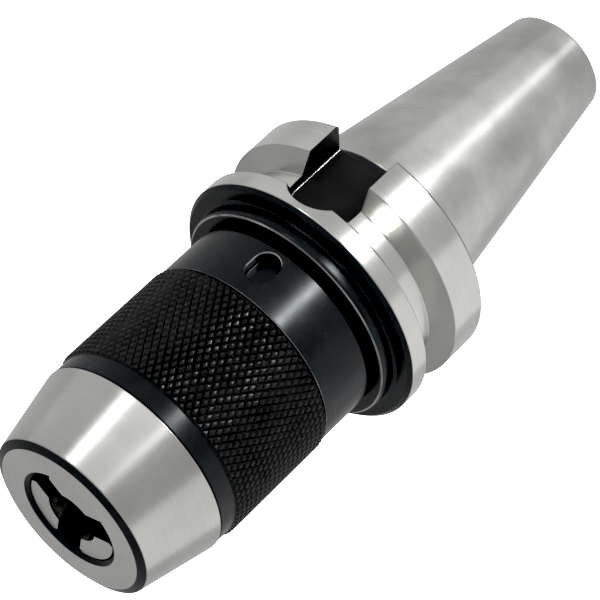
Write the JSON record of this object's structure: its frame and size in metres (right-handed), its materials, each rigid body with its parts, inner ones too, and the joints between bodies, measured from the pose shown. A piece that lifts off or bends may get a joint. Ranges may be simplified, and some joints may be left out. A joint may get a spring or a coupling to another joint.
{
  "type": "keyless drill chuck",
  "caption": "Keyless drill chuck with an integral 7:24 steep-taper shank, grooved flange, knurled turning sleeve and inclined sliding jaws.",
  "frame": {"origin": "centre of the 7:24 taper's gauge plane, on the chuck's axis", "axes": "+Z along the axis from the taper to the jaws; -Y through the middle of one drive slot of the flange"},
  "size_m": [0.063, 0.063, 0.1646],
  "materials": {
    "ground_steel": "fine ground, bright satin",
    "black_oxide": "black oxide, semi-gloss",
    "hard_steel": "hardened and ground",
    "bronze": "turned bearing bronze",
    "seal_rubber": "matt nitrile rubber"
  },
  "bodies": {
    "shank": {"taper_shank": "ground_steel", "spindle_bush": "bronze", "bush_screw": "black_oxide", "dust_seal": "seal_rubber", "bearing_upper_washer": "hard_steel", "bearing_lock_nut": "black_oxide", "lock_nut_screw": "black_oxide"},
    "sleeve": {"rear_sleeve": "black_oxide", "guide_bush": "bronze", "bearing_lower_washer": "hard_steel", "spacer_tube": "black_oxide", "grip_sleeve": "black_oxide", "nose_cone": "ground_steel"},
    "screw": {"draw_screw": "hard_steel"},
    "jaw_1": {"jaw_1": "ground_steel"},
    "jaw_2": {"jaw_2": "ground_steel"},
    "jaw_3": {"jaw_3": "ground_steel"},
    "bearing": {"bearing_cage": "bronze", "bearing_ball_1": "hard_steel", "bearing_ball_2": "hard_steel", "bearing_ball_3": "hard_steel", "bearing_ball_4": "hard_steel", "bearing_ball_5": "hard_steel", "bearing_ball_6": "hard_steel", "bearing_ball_7": "hard_steel", "bearing_ball_8": "hard_steel", "bearing_ball_9": "hard_steel", "bearing_ball_10": "hard_steel", "bearing_ball_11": "hard_steel", "bearing_ball_12": "hard_steel"}
  },
  "joints": [
    {"name": "sleeve_turn", "type": "hinge", "parent": "shank", "child": "sleeve", "pos_m": [0, 0, 0], "axis": [0, 0, -1], "range_deg": [-415, 770]},
    {"name": "screw_advance", "type": "slide", "parent": "sleeve", "child": "screw", "axis": [0, 0, 1], "range_m": [-0.00578, 0.01072]},
    {"name": "jaw_1_slide", "type": "slide", "parent": "sleeve", "child": "jaw_1", "axis": [-0.2934, -0.097, 0.9511], "range_m": [-0.00607, 0.01127]},
    {"name": "jaw_2_slide", "type": "slide", "parent": "sleeve", "child": "jaw_2", "axis": [0.2307, -0.2056, 0.9511], "range_m": [-0.00607, 0.01127]},
    {"name": "jaw_3_slide", "type": "slide", "parent": "sleeve", "child": "jaw_3", "axis": [0.0627, 0.3026, 0.9511], "range_m": [-0.00607, 0.01127]},
    {"name": "bearing_roll", "type": "hinge", "parent": "shank", "child": "bearing", "pos_m": [0, 0, 0.0465], "axis": [0, 0, -1], "range_deg": [-207.91, 385.77]}
  ],
  "couplings": [
    {"joint": "screw_advance", "follows": "sleeve_turn", "m_per_rad": 0.00079577},
    {"joint": "jaw_1_slide", "follows": "sleeve_turn", "m_per_rad": 0.00083673},
    {"joint": "jaw_2_slide", "follows": "sleeve_turn", "m_per_rad": 0.00083673},
    {"joint": "jaw_3_slide", "follows": "sleeve_turn", "m_per_rad": 0.00083673},
    {"joint": "bearing_roll", "follows": "sleeve_turn", "ratio": 0.5}
  ]
}
